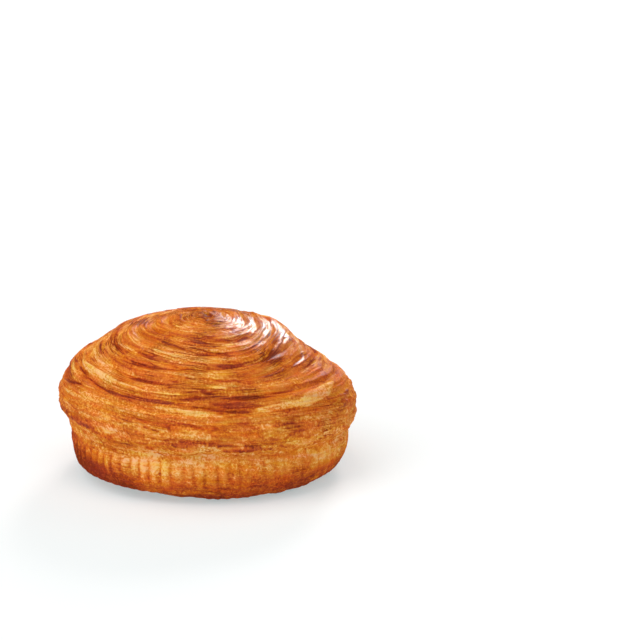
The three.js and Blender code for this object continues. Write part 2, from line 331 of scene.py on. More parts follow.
def plain(s, a):
    """Point of the plain shape: the meridian turned about a centre that leans with height. Past
    the rim the radius shrinks evenly on z = 0 to the middle of the underside."""
    lean = 1 - smooth(LEAN_FADE, s)
    below = s - CREASE_ARC
    on_crown = smooth(LUMPS_FADE_IN, s) * (1 - smooth(LUMPS_FADE_OUT, below))
    r = meridian(np.minimum(s, RIM_ARC), 0) * (1 - LEFT_FULLNESS * lean * np.sin(a))
    r = r + on_crown * sum_of_waves(LUMPS, s, a)
    r = np.where(s > RIM_ARC, END_ARC - s, r)
    size, at, reach = BAND_SWAY
    sway = size * bell((s - at) / reach) + FOOT_SWAY * smooth(FOOT_SWAY_FADE, s)
    size, count, reach = CREASE_WAVE
    rise = size * np.cos(count * a) * bell(below / reach)
    z = np.where(s > RIM_ARC, 0, meridian(np.minimum(s, RIM_ARC), 1) + rise)
    x = CROWN_SHIFT_X * lean + sway + r * np.sin(a)
    y = CROWN_SHIFT_Y * lean - r * np.cos(a)
    return np.stack([x, y, z], axis=-1)


def outward(s, a):
    """Outward unit normal of the plain shape, from differences along s and a."""
    safe = np.clip(s, 2 * NORMAL_STEP, END_ARC - 2 * NORMAL_STEP)
    down = plain(safe + NORMAL_STEP, a) - plain(safe - NORMAL_STEP, a)
    around = plain(safe, a + NORMAL_STEP) - plain(safe, a - NORMAL_STEP)
    normal = np.cross(down, around)
    return normal / np.linalg.norm(normal, axis=-1, keepdims=True)


def drawn(s, a):
    """Shift of the strands down the skin: a value for each of three sides that depends on s, each
    coming in smoothly with the angle."""
    at, left, front, right = DRAWN.T
    degrees = degrees_from(0, a)
    shift = np.interp(s, at, left) * smooth(DRAWN_LEFT, degrees)
    shift = shift + np.interp(s, at, front) * smooth(DRAWN_FRONT, degrees)
    shift = shift + np.interp(s, at, right) * smooth(DRAWN_RIGHT, degrees)
    return shift * (1 - smooth(DRAWN_BACK, np.abs(degrees)))


def rope_course(s, a):
    """Distance s with the straying and the drawing of the ropes taken out, in millimetres."""
    return s - ROPE_OFFSET + sum_of_waves(ROPE_STRAY, s, a) - drawn(s, a)


def ropes(s, a):
    """Rounded crests with narrow grooves: a power of the distance from the crest, mean zero."""
    phase = rope_course(s, a) / ROPE_PITCH - ROPE_STARTS * a / TURN
    crest = 1 / (ROPE_ROUNDNESS + 1) - from_crest(phase) ** ROPE_ROUNDNESS
    weaken = 1 - ROPES_WEAKEN * smooth(ROPES_WEAKEN_FADE, s)
    strength = smooth(ROPES_FADE_IN, s) * weaken * (1 - smooth(ROPES_FADE_OUT, s))
    return ROPE_DEPTH * strength * (1 + sum_of_waves(ROPE_UNEVEN, s, a)) * crest


def spot(s, a, entry):
    """One crevice, swell or stain: a bell across, a parabola along its length."""
    middle, half, at, drift, width, size = entry
    d = degrees_from(middle, a)
    along = np.clip(1 - (d / half) ** 2, 0, 1)
    return size * along * bell((s - at - drift * d) / width)


def nub(s, a):
    """Mound in the middle of the swirl less the curl that winds into it."""
    return NUB_RISE * bell(s / NUB_RADIUS) - smooth(CURL_FADE_IN, s) * spot(s, a, CURL)


def ribs(s, a):
    """Upright waves around the band, fading out at the crease and at the rim of the foot."""
    strength = smooth(RIBS_FADE_IN, s - CREASE_ARC) * (1 - smooth(RIBS_FADE_OUT, RIM_ARC - s))
    return 0.5 * RIB_DEPTH * strength * (1 + sum_of_waves(RIB_UNEVEN, s, a)) * np.sin(RIB_COUNT * a)


def main_relief(s, a):
    """Everything that the solid has too: ropes, nub, ribs, swells and crevices."""
    crevices = sum(spot(s, a, entry) for entry in CREVICES)
    swells = sum(spot(s, a, entry) for entry in SWELLS)
    return ropes(s, a) + nub(s, a) + ribs(s, a) + swells - crevices


class Cloudy:
    """Smooth random values between -1 and 1 on the skin.

    Rows are `width` millimetres apart and have `cells` values around the bun, with a smooth step
    between neighbours. After one turn the rows move on by `growth`, so that streaks which follow
    the spiral have no seam."""

    def __init__(self, rng, width, cells, growth=0.0):
        self.width = width
        self.cells = cells
        self.shift = round(growth / width)
        self.table = rng.uniform(-1, 1, (cells, FIELD_ROWS))
        self.stagger = rng.uniform(0, 1, self.shift or FIELD_ROWS)

    def row(self, x, j):
        """Value of row j at x cells around: the two nearest values, blended as 3t^2 - 2t^3."""
        x = x + self.stagger[j % len(self.stagger)]
        i = np.floor(x).astype(int)
        t = x - i
        t = t * t * (3 - 2 * t)
        first = self.value(i, j)
        second = self.value(i + 1, j)
        return first * (1 - t) + second * t

    def value(self, i, j):
        """Value number i of row j. Each full turn moves on by as many rows as `growth` covers."""
        return self.table[i % self.cells, (j + i // self.cells * self.shift) % FIELD_ROWS]

    def __call__(self, across, a):
        """The two nearest rows, blended as 3t^2 - 2t^3."""
        y = across / self.width
        j = np.floor(y).astype(int)
        t = y - j
        t = t * t * (3 - 2 * t)
        x = a / TURN * self.cells
        return self.row(x, j) * (1 - t) + self.row(x, j + 1) * t


def strands(across, pitch, sharpness):
    """Crests of fine strands: 0 on top, -1 in the grooves."""
    return -from_crest(across / pitch) ** sharpness


# Stains of the crust, in the terms of the crevices, with a strength in place of the depth. Bare
# places show the inside of a lamina, brown ones its baked end, both with a crisp edge. Pale places
# are soft.
BARE = [
    (-77, 11, 45.4, 0.12, 0.6, 0.28), (-68, 12, 41.5, 0.05, 0.9, 0.34), (-51, 9, 42.7, 0.1, 1, 0.34),
    (-36, 10, 43.9, 0.02, 0.6, 0.3), (-19, 13, 44.7, 0.01, 0.45, 0.32), (-66, 9, 37.6, 0.04, 0.4, 0.3),
    (-67, 11, 33.4, 0.13, 0.5, 0.28), (-60, 10, 29.2, 0.06, 0.6, 0.24), (-62, 18, 25.4, 0.13, 0.5, 0.28),
    (-68, 9, 53.7, -0.05, 1, 0.26), (-60, 7, 48.2, -0.02, 0.3, 0.28), (-51, 12, 51.8, 0.03, 1.5, 0.22),
    (9, 5, 42.3, 0.15, 0.8, 0.3), (34, 13, 52.7, 0.03, 1.4, 0.36), (54, 16, 52.6, -0.07, 2, 0.4),
    (-12, 8, 51.2, 0.09, 1.1, 0.26), (-1, 9, 52.5, 0.12, 1.1, 0.28), (21, 5, 57.5, 0.11, 0.5, 0.22),
    (-30, 9, 53, 0, 1.2, 0.2), (28, 9, 24.3, 0.03, 0.4, 0.2), (150, 50, 52, 0.03, 2.4, 0.28),
    (-140, 36, 44, 0.04, 1.8, 0.28), (112, 30, 36.5, 0.03, 1.5, 0.22), (-170, 34, 28, 0.03, 1.4, 0.24),
    (-112, 26, 60.5, 0, 1.8, 0.2), (11, 2.5, 65.6, 0.3, 1.2, 0.3), (21, 5, 66.5, 0, 0.35, 0.3),
    (26, 2.5, 65.9, -0.8, 0.4, 0.32), (29, 3, 66.8, -1.4, 0.4, 0.32), (41, 3, 63.4, -0.33, 0.4, 0.28),
    (45, 3, 64.9, -0.6, 0.4, 0.28), (-42, 4, 62.5, -0.17, 1, 0.3), (-30, 7, 70.6, 0.15, 0.9, 0.18),
    (-5, 5, 67.4, -0.39, 0.7, 0.26),
]
PALE = [
    (-78, 16, 19.3, 0, 0.7, 0.15), (-23, 17, 11.5, 0, 1.6, 0.16), (-14, 13, 14.2, 0, 1.4, 0.16),
    (12, 22, 7.6, 0, 0.9, 0.14), (-25, 16, 28, 0.1, 1.6, 0.22), (2, 22, 25.5, 0.02, 1.3, 0.14),
    (15, 20, 30.6, 0.03, 1.3, 0.16), (-5, 13, 38.2, 0.1, 1.1, 0.22),
    (47, 15, 38.1, 0.05, 1.1, 0.18), (5, 7, 31, 0, 0.9, 0.14), (43, 14, 44.8, 0.01, 1, 0.12),
    (-25, 60, 59, 0, 2, 0.08), (-22, 34, 73.5, 0, 3, 0.05), (120, 40, 60, 0, 2, 0.12),
]
BROWN = [
    (-76, 9, 34.7, 0.14, 0.5, 0.35), (-77, 9, 38.9, -0.04, 0.6, 0.2), (-68, 9, 44.2, 0.1, 0.4, 0.35),
    (-57, 7, 45.7, 0.21, 0.55, 0.4), (-47, 8, 47.7, 0.15, 0.4, 0.4), (-73, 8, 50.1, -0.2, 0.7, 0.4),
    (-39, 10, 47.8, 0.02, 1, 0.32), (-23, 12, 48, 0.05, 1.1, 0.36), (-42, 8, 39, 0.07, 0.4, 0.28),
    (-24, 14, 41, 0.02, 1.1, 0.42), (-32, 11, 31.5, 0.13, 0.65, 0.36), (-45, 10, 18.7, -0.06, 0.9, 0.28),
    (-21, 12, 24.2, 0.12, 1, 0.22), (11, 18, 21.5, 0.03, 1.1, 0.36), (3, 9, 27.7, 0.07, 0.7, 0.3),
    (20, 12, 27.8, 0.04, 0.35, 0.25), (-5, 6, 32.2, 0.11, 0.3, 0.3), (0, 7, 34.9, 0.1, 0.7, 0.3),
    (11, 7, 34.2, 0.03, 0.6, 0.42), (15, 4, 32.8, -0.06, 0.4, 0.25), (-7, 6, 41.3, 0.11, 0.4, 0.25),
    (16, 9, 40, 0.05, 0.5, 0.34), (6, 6, 45, 0.21, 0.6, 0.4), (0, 9, 46.3, -0.08, 0.7, 0.4),
    (25, 13, 33.4, 0.01, 0.8, 0.42), (50, 15, 33.4, 0, 0.35, 0.4), (31, 11, 40, 0.12, 0.8, 0.36),
    (42, 9, 47.6, 0.08, 0.5, 0.36), (54, 7, 48.6, 0.13, 0.35, 0.3), (22, 13, 47.4, 0.06, 0.75, 0.4),
    (15, 11, 49.8, 0.1, 1.4, 0.22), (13, 7, 52.2, 0.07, 0.5, 0.32), (-8, 6, 56.2, 0.2, 0.6, 0.32),
    (-12, 5, 58.7, 0.19, 0.7, 0.26), (2, 6, 58.2, 0.15, 0.8, 0.26), (76, 9, 47, -0.3, 1.6, 0.2),
    (68, 9, 58.5, -0.2, 1.6, 0.22), (-72, 12, 5.6, -0.1, 0.5, 0.25), (35, 49, 3.6, 0, 0.7, 0.28),
    (38, 14, 11.1, 0, 0.7, 0.28), (40, 12, 21.9, 0, 0.9, 0.5), (-75, 17, 17.2, 0, 1.2, 0.15),
    (68, 10, 38.5, 0, 0.8, 0.25), (20, 12, 57, 0.1, 0.7, 0.22), (-30, 8, 58, 0.1, 0.6, 0.2),
    (-57, 7, 63.6, -0.1, 0.9, 0.4), (-37, 8, 67.3, -0.05, 1.5, 0.26), (7, 5, 66.2, 0.15, 1.9, 0.44),
    (15.5, 5, 66.9, -0.1, 1.7, 0.44), (35, 4, 62.6, -0.1, 0.9, 0.34), (165, 26, 47.4, 0.05, 1.9, 0.25),
    (21, 5, 67.7, 0.05, 0.4, 0.4), (28, 3.5, 66.8, 0.5, 0.35, 0.4), (-10, 5, 64.7, 0, 1.3, 0.34),
    (-64, 5, 62.9, -0.15, 0.7, 0.36), (-5, 5, 69.2, -0.46, 0.4, 0.36), (32, 8, 33.7, 0, 0.7, 0.34),
    (80, 9, 37.5, -0.25, 0.4, 0.34), (41, 9, 22, 0.15, 0.6, 0.6),
    (128, 26, 46.5, 0.03, 2.2, 0.3), (-150, 28, 33, 0.04, 1.8, 0.3), (-100, 24, 47, 0.04, 2, 0.3),
]

# Dark lines where one lamina lies on the next, and soft places that are darker: some baked darker,
# and painted shade of the left side on the band, the foot and the crown.
LINES = [
    (-50, 13, 33.9, 0.09, 0.25, 0.4), (-28, 15, 34.8, -0.03, 0.25, 0.4), (-5, 13, 35.3, 0.06, 0.3, 0.35),
    (-56, 8, 38.9, -0.12, 0.2, 0.3), (-48, 7, 30.9, -0.17, 0.2, 0.3), (-13, 6, 49, -0.04, 0.3, 0.45),
    (-4, 8, 49.6, 0.05, 0.22, 0.35), (5, 5, 51.2, 0.5, 0.35, 0.42), (32, 7, 54.2, 0.25, 0.25, 0.35),
    (25, 9, 61.9, 0.05, 0.25, 0.34), (11, 7, 60.6, 0, 0.25, 0.3), (-41, 5, 64.7, 0.12, 0.3, 0.4),
    (-48, 5, 64.7, 0.13, 0.35, 0.36), (-22, 6, 59, 0.25, 0.28, 0.34), (-14, 6, 60.1, 0, 0.28, 0.3),
    (-1, 5, 60.2, 0.11, 0.28, 0.32),
]
DARKER_AND_SHADED = [
    # The first two entries and the seventh are painted shade of the left side.
    (-74, 46, 77.5, 0.16, 6, 0.85), (-58, 44, 86, 0.05, 6, 0.12), (52, 34, 37, 0, 8, 0.22),
    (66, 26, 50, 0, 8, 0.16), (14, 14, 49.4, 0.05, 2.4, 0.2), (170, 60, 40, 0, 12, 0.08),
    (-62, 60, 56, 0, 9, 0.07), (0, 55, 57, 0, 5, 0.04), (10, 30, 88, 0, 4, 0.1),
]

# Places where the glaze lies thick, in the same terms.
GLOSS = [
    (72, 50, 17, 0, 8, 1), (35, 24, 25, 0.05, 0.6, 0.5), (68, 26, 24.8, -0.16, 0.8, 0.8),
    (47, 14, 27.6, 0, 0.6, 0.65), (78, 30, 30.4, -0.14, 1.8, 0.95), (80, 16, 37.6, -0.3, 0.6, 0.75),
    (64, 12, 40.4, -0.08, 0.4, 0.5), (47, 12, 34.6, -0.01, 0.5, 0.8), (49, 7, 47.5, 0.05, 0.4, 0.45),
    (-60, 13, 24, 0.12, 0.4, 0.85), (-44, 14, 27.8, 0.12, 0.35, 0.6), (-57, 8, 47.7, 0.19, 0.4, 0.45),
    (37, 6, 41.9, 0.09, 0.4, 0.45), (175, 50, 20, 0, 7, 0.6), (-150, 30, 26, 0, 5, 0.5),
]

# How far the crust is baked along s, from 0, pale, to 1, dark brown. The dip around the crease,
# between s 58 and 76, is partly dough kept from browning there and partly painted light that lifts
# the shade of the crease.
BAKE_COURSE = np.array([
    (0, 0.4), (8, 0.37), (16, 0.36), (24, 0.31), (34, 0.31), (42, 0.31), (50, 0.31), (58, 0.3),
    (66, 0.27), (70, 0.25), (73, 0.23), (76, 0.29), (79, 0.46), (82, 0.66), (86, 0.74), (92, 0.7),
    (96, 0.62), (110, 0.5), (140, 0.5),
])

# Where the ribs are faint, on the right of the band, and where they stand out, on its left.
FAINT_RIBS = (62, 50, 78, 0, 9, 0.5)
CLEAR_RIBS = (-42, 42, 76, 0.0, 8, 0.7)


def crescent(s, a, entry):
    """Even inside a crescent that narrows to both ends, and 0 outside, with a crisp edge. Its half
    width follows a half circle along its length."""
    middle, half, at, drift, width, size = entry
    d = degrees_from(middle, a)
    along = np.sqrt(np.clip(1 - (d / half) ** 2, 0, 1))
    outside = np.abs(s - at - drift * d) - width * along
    return size * smooth(CRESCENT_TIP, along) * (1 - smooth(CRESCENT_EDGE, outside))


def step_edge(value):
    """Browned rim of a lamina where `value` turns positive, and the pale strip just outside."""
    inside = smooth(RIM_EDGE, value)
    rim = inside * np.exp(-np.maximum(value, 0) / RIM_REACH)
    strip = (1 - inside) * np.exp(np.minimum(value, 0) / STRIP_REACH)
    return rim - STRIP_SHARE * strip


def total(shape, s, a, entries):
    """Sum of one shape, a spot or a crescent, over the rows of a table."""
    return sum(shape(s, a, entry) for entry in entries)


def step_at(edge, value):
    """From -0.5 to 0.5 where `value` turns positive, over `edge` on both sides."""
    return smooth((-edge, edge), value) - 0.5


def grain(s, a, strand):
    """Place along and across the strands, for noise drawn out along them: a circle that widens
    with s, and the distance between strands less the growth of the spiral, which jumps where a
    starts again."""
    around = 1 + GRAIN_WIDENING * smooth(GRAIN_WIDENING_FADE, s)
    return np.stack([around * np.sin(a), around * np.cos(a), strand - GROWTH * a / TURN], -1)


def random_fields(s, a):
    """The random fields of the skin, drawn in this order.

    `strand` is the distance between strands, bent by a slow field so that they part and meet, and
    `across` is the same less the growth of the spiral, torn low on the crown by lumps and grains.
    The fields from `broad` to `thin` are drawn out along the strands. Plies, laminae and leaves
    end where the mixtures of that name turn positive. `waves` parts the flakes of the crease, and
    `scallop` moves the edge of the foot and the ribs."""
    rng = np.random.default_rng(SEED)
    bend = Cloudy(rng, *SLOW_BEND_GRID)(s, a) + QUICK_BEND * Cloudy(rng, *QUICK_BEND_GRID)(s, a)
    strand = rope_course(s, a) + BEND * smooth(BEND_FADE_IN, s) * bend
    lumps = Cloudy(rng, *LUMP_GRID)(s, a)
    grains = Cloudy(rng, *GRAIN_GRID)(s, a)
    torn = smooth(TORN_FADE_IN, s)
    across = strand - GROWTH * a / TURN + torn * (LUMP_SHIFT * lumps + GRAIN_SHIFT * grains)
    turned = a + (LUMP_TURN + TORN_LUMP_TURN * torn) * lumps + TORN_GRAIN_TURN * torn * grains
    broad = Cloudy(rng, *BROAD_GRID)(across, turned)
    middle = Cloudy(rng, *MIDDLE_GRID)(across, turned)
    narrow = Cloudy(rng, *NARROW_GRID)(across, turned)
    thin = Cloudy(rng, *THIN_GRID)(across, turned)
    crumbs = Cloudy(rng, *CRUMB_GRID)(s, a)
    patches = Cloudy(rng, *PATCH_GRID)(s, a)
    tides = Cloudy(rng, *TIDE_GRID)(s, a)
    uneven_s = s + 0.9 * lumps + 0.4 * grains
    waves = Cloudy(rng, *FLAKE_GRID)(uneven_s, turned) + 0.4 * Cloudy(rng, *CURL_GRID)(uneven_s, turned)
    scallop = Cloudy(rng, *SCALLOP_GRID)(s, a)
    return SimpleNamespace(
        strand=strand, across=across, lumps=lumps, grains=grains, broad=broad, middle=middle,
        narrow=narrow, thin=thin, crumbs=crumbs, patches=patches, tides=tides, waves=waves,
        scallop=scallop,
        crests=smooth(STRAND_FADE_IN, s) * strands(across + 0.8 * middle, STRAND_PITCH, 3),
        threads=smooth(THREAD_FADE_IN, s) * strands(across + 0.6 * narrow, THREAD_PITCH, 2),
        ply=broad + 0.25 * middle + 0.12 * narrow,
        lamina=middle + 0.35 * narrow,
        leaf=narrow + 0.4 * thin,
    )


def zones_of_skin(s):
    """How far a place is on the crown, low on it, at the crease, on the band and on the foot: a
    smooth rise to 1, times a smooth fall where the zone ends. The band grows rougher on the foot."""
    below = s - CREASE_ARC
    foot = smooth(FOOT_FADE_IN, s)
    return SimpleNamespace(
        crown=smooth(CROWN_FADE_IN, s) * (1 - smooth(CROWN_FADE_OUT, s)),
        low=smooth(LOW_CROWN_FADE, s),
        crease=between(CREASE_ZONE, CREASE_ZONE_EDGE, below),
        band=smooth(BAND_FADE_IN, below) * (1 - smooth(BAND_FADE_OUT, s - RIM_ARC)),
        foot=foot,
        rough=BAND_ROUGHNESS + (1 - BAND_ROUGHNESS) * foot,
    )


def sharp_ribs(s, a, fields):
    """How far the ribs stand out, and the distance from the middle of the nearest one, from 0 to 1.
    They stand out by a mixture of slow fields, held between two limits, times a fade to a ragged
    line and what the faint place leaves."""
    end = CREASE_ARC + RIB_END + RIB_END_STRAY * fields.scallop
    ends = smooth(RIB_START_FADE, s - CREASE_ARC) * (1 - smooth(RIB_END_FADE, s - end))
    by_turns = 0.75 - 0.6 * fields.tides + 0.3 * fields.patches + spot(s, a, CLEAR_RIBS)
    standing = (1 - spot(s, a, FAINT_RIBS)) * ends * np.clip(by_turns, *RIB_STRENGTH)
    phase = RIB_COUNT * a / TURN + RIB_START + RIB_STRAY * fields.scallop + RIB_LUMP_STRAY * fields.lumps
    return standing, from_crest(phase)


def stains_of_skin(s, a, fields):
    """Strength of each kind of stain. Their edges waver with the fields along the strands."""
    uneven = s + 0.35 * fields.middle + 0.25 * fields.narrow + 0.15 * fields.thin
    cores = [(*entry[:4], *CREVICE_CORE) for entry in CREVICES]
    return SimpleNamespace(
        bare=total(crescent, uneven, a, BARE),
        crevice=total(spot, uneven, a, CREVICES),
        core=total(crescent, uneven, a, cores),
        brown=total(crescent, uneven, a, BROWN),
        line=total(crescent, uneven, a, LINES),
        # Darker places, partly painted shade of the left side.
        darker=total(spot, s, a, DARKER_AND_SHADED),
        pale=total(spot, uneven, a, PALE),
        gloss=total(spot, uneven, a, GLOSS),
    )


def fine_relief(s, a, fields, zones, stains, rib_share, rib_distance):
    """Relief finer than the main one, in millimetres: each pattern times its height, summed over
    the zones.

    Crown: strands that come and go, with the ropes under them, random waves and the steps where
    plies, laminae and leaves end. Crease: wavy flakes, longer than high. Band and foot: blisters,
    sharp ribs in place of the even ones, and a scalloped edge."""
    sink = 0.15 + 0.75 * smooth((-0.5, 0.6), fields.patches + 0.3 * fields.broad)
    relief = zones.crown * (
        STRAND_HEIGHT * sink * fields.crests
        + THREAD_HEIGHT * (0.5 + 0.5 * fields.narrow) * fields.threads
        + MIDDLE_HEIGHT * fields.middle + NARROW_HEIGHT * fields.narrow + THIN_HEIGHT * fields.thin
        + PLY_STEP * step_at(0.05, fields.ply)
        + (LAMINA_STEP + LOW_LAMINA_STEP * zones.low) * step_at(0.08, fields.lamina)
        + LEAF_STEP * step_at(0.12, fields.leaf)
        + GRAIN_HEIGHT * fields.grains
    )
    relief = relief - ropes(s, a) * (1 - sink) * ROPE_SINK + BARE_HEIGHT * stains.bare
    relief = relief + zones.crease * (
        CREASE_LUMP * fields.lumps + CREASE_LIP * step_at(0.1, fields.waves)
        + CREASE_GRAIN * fields.grains + CREASE_CRUMB * fields.crumbs
    )
    blisters = BAND_GRAIN * fields.grains + BAND_CRUMB * fields.crumbs
    relief = relief + zones.band * (BAND_LUMP * fields.lumps + zones.rough * blisters)
    rib = 1 - rib_distance ** RIB_SHARPNESS - RIB_MIDDLE
    relief = relief - 0.5 * ribs(s, a) * (1 - rib_share) + RIB_HEIGHT * rib_share * rib
    at_rim = between((RIM_ARC - SCALLOP_WIDTH, RIM_ARC), SCALLOP_EDGE, s)
    return relief + SCALLOP_HEIGHT * fields.scallop * at_rim


def baking(s, fields, zones, stains, rib_share, rib_distance):
    """How far the crust is baked, as a sum of its course along s, streaks along the strands, browned
    edges of plies, laminae and leaves, stains, and the mottles of crease, band and foot. Ribs are
    painted paler in the middle as a highlight and darker in the gaps as shade. Past the knee the sum
    counts less."""
    middle, narrow, thin = fields.middle, fields.narrow, fields.thin
    grains, crumbs = fields.grains, fields.crumbs
    streaks = 0.05 * fields.broad + 0.09 * middle + 0.10 * narrow + 0.07 * thin
    streaks = streaks + 0.06 * fields.patches + 0.04 * fields.crests
    seen = smooth((-0.2, 0.5), fields.broad + 0.3 * fields.patches)
    edges = step_edge(2 * fields.ply) + seen * step_edge(fields.lamina)
    leaf_edges = 0.12 * (1 - seen) * step_edge(fields.leaf)
    # The course along s is paler around the crease, partly as painted light there.
    bake = np.interp(s, *BAKE_COURSE.T) + zones.crown * (
        (1 - 0.6 * zones.low) * streaks
        + (0.20 - 0.06 * zones.low) * edges
        + (1 - zones.low) * leaf_edges
    )
    brown = 0.14 * stains.crevice + 0.55 * stains.core + 0.80 * stains.brown
    bake = bake + brown * np.clip(1 + 0.8 * narrow + 0.5 * thin, 0.25, 1.8)
    # The darker places add painted shade on the left side.
    bake = bake + 0.9 * stains.line + stains.darker - 0.95 * stains.bare - stains.pale
    flakes = 0.28 * step_edge(fields.waves) + 0.06 * fields.waves
    bake = bake + zones.crease * (flakes + 0.08 * grains + 0.14 * crumbs)
    mottles = (0.06 + 0.18 * zones.foot) * fields.lumps + zones.rough * (0.18 * grains + 0.08 * crumbs)
    bake = bake + zones.band * (0.10 * fields.tides + mottles)
    # Painted highlight down the middle of each rib and painted shade in its gaps.
    bake = bake + rib_share * (0.13 * smooth(RIB_GAP_SHADE, rib_distance) - 0.18 * (1 - rib_distance ** 2))
    bake = np.where(bake > BAKE_KNEE, BAKE_KNEE + BAKE_PAST_KNEE * (bake - BAKE_KNEE), bake)
    return np.clip(bake, 0, 1)


def finish_of_skin(s, a):
    """Fine relief in millimetres, and how baked, glazed, crumbly and speckled the skin is and how it
    is grained. The glaze is a thin coat, less of it low down, more on brown and glossy places, times
    the fields along the strands. The skin is crumbly low on the crown and where it is bare."""
    fields = random_fields(s, a)
    zones = zones_of_skin(s)
    stains = stains_of_skin(s, a, fields)
    rib_share, rib_distance = sharp_ribs(s, a, fields)
    relief = fine_relief(s, a, fields, zones, stains, rib_share, rib_distance)

    glaze = 0.10 - 0.03 * smooth((34, 50), s) - 0.03 * smooth((60, 70), s)
    glaze = glaze + 0.25 * np.clip(stains.brown, 0, 0.5) + stains.gloss
    glaze = glaze * (0.9 + 0.25 * fields.middle + 0.2 * fields.thin)
    crumbly = 0.15 + 0.7 * zones.low + 1.2 * stains.bare + 0.2 * fields.tides
    speckled = 1.30 - 0.25 * zones.low - 0.35 * zones.band * (1 - zones.foot) + 0.15 * zones.band
    finish = {
        "bake": baking(s, fields, zones, stains, rib_share, rib_distance),
        "glaze": np.clip(glaze, *GLAZE_LIMITS),
        "crumbly": np.clip(crumbly, 0, 1),
        "speckled": speckled,
        "grain_front": grain(s, a - TURN * (a > math.pi), fields.strand),
        "grain_back": grain(s, a, fields.strand),
        "front_share": smooth(GRAIN_BLEND, np.cos(a)),
    }
    return relief, finish


def ring_positions(first, last, step):
    """Even distances s from first to last, about `step` apart."""
    count = round((last - first) / step)
    return np.linspace(first, last, count + 1)


def grid(s, columns):
    """Distance s and angle a of every point of some rings."""
    a = np.arange(columns) * TURN / columns
    return np.meshgrid(s, a, indexing="ij")


def quads(first, rows, columns):
    """Two triangles for each cell of a ring grid whose vertices start at number `first`."""
    row, column = np.meshgrid(np.arange(rows - 1), np.arange(columns), indexing="ij")
    here = first + row * columns + column
    right = first + row * columns + (column + 1) % columns
    return np.concatenate([
        np.stack([here, here + columns, right + columns], -1).reshape(-1, 3),
        np.stack([here, right + columns, right], -1).reshape(-1, 3),
    ])


def spread(sparse, dense, columns):
    """Triangles between a ring of `columns` vertices and one of SPREAD times as many below it."""
    i = np.arange(columns)
    j = (i + 1) % columns
    half = SPREAD // 2 + 1
    faces = [np.stack([sparse + i, dense + SPREAD * i + half, sparse + j], -1)]
    for k in range(SPREAD):
        tip = sparse + (i if k < half else j)
        right = dense + (SPREAD * i + k + 1) % (SPREAD * columns)
        faces.append(np.stack([tip, dense + SPREAD * i + k, right], -1))
    return np.concatenate(faces)


def make_mesh(name, points, faces, attributes):
    """Smooth mesh of triangles, from points in millimetres, with values at its points."""
    mesh = bpy.data.meshes.new(name)
    mesh.vertices.add(len(points))
    mesh.vertices.foreach_set("co", (points * MM).astype(np.float32).ravel())
    mesh.loops.add(faces.size)
    mesh.loops.foreach_set("vertex_index", faces.astype(np.int32).ravel())
    mesh.polygons.add(len(faces))
    mesh.polygons.foreach_set("loop_start", np.arange(0, faces.size, 3, dtype=np.int32))
    mesh.update(calc_edges=True)
    mesh.validate()
    mesh.shade_smooth()
    for key, value in attributes.items():
        kind = "FLOAT_VECTOR" if value.ndim == 2 else "FLOAT"
        field = mesh.attributes.new(key, kind, "POINT")
        field.data.foreach_set("vector" if value.ndim == 2 else "value", value.astype(np.float32).ravel())
    return mesh


def make_bun():
    """The skin as rings of points from the middle of the swirl to the middle of the underside. Each
    point is that of the plain shape, moved along its normal by the main and the fine relief. The
    whole is centred as its main shape is, and stands flat on z = 0."""
    few = NUB_COLUMNS
    some = few * SPREAD
    many = some * SPREAD
    under_end = END_ARC - NUB_ARC
    rings = [
        (np.zeros(1), 1),
        (ring_positions(0, NUB_ARC, NUB_STEP)[1:], few),
        (ring_positions(NUB_ARC, SPREAD_ARC, CROWN_STEP)[1:], some),
        (ring_positions(SPREAD_ARC, RIM_ARC, BAND_STEP)[1:], many),
        (ring_positions(RIM_ARC, under_end, UNDER_STEP)[1:], some),
        (ring_positions(under_end, END_ARC, UNDER_STEP)[1:-1], few),
        (np.full(1, END_ARC), 1),
    ]
    parts = [grid(places, columns) for places, columns in rings]
    s = np.concatenate([part[0].ravel() for part in parts])
    a = np.concatenate([part[1].ravel() for part in parts])
    starts = np.cumsum([0] + [part[0].size for part in parts])

    normals = outward(s, a)
    solid = plain(s, a) + normals * main_relief(s, a)[:, None]
    relief, finish = finish_of_skin(s, a)
    points = solid + normals * relief[:, None]
    centre = (solid.min(0) + solid.max(0)) / 2
    points[:, :2] -= centre[:2]
    points[s >= RIM_ARC, 2] = 0
    points[:, 2] = np.maximum(points[:, 2], 0)

    ring = np.arange(few)
    after = (ring + 1) % few
    last = starts[1:] - [columns for _, columns in rings]
    faces = [
        np.stack([0 * ring, starts[1] + ring, starts[1] + after], -1),
        spread(last[1], starts[2], few),
        spread(last[2], starts[3], some),
        spread(starts[4], last[3], some)[:, ::-1],
        spread(starts[5], last[4], few)[:, ::-1],
        np.stack([starts[6] + 0 * ring, last[5] + after, last[5] + ring], -1),
    ]
    faces += [quads(starts[k], len(rings[k][0]), rings[k][1]) for k in range(1, 6)]
    mesh = make_mesh("bun_crust", points, np.concatenate(faces), finish)
    bun = bpy.data.objects.new("bun_crust", mesh)
    bpy.context.collection.objects.link(bun)
    return bun


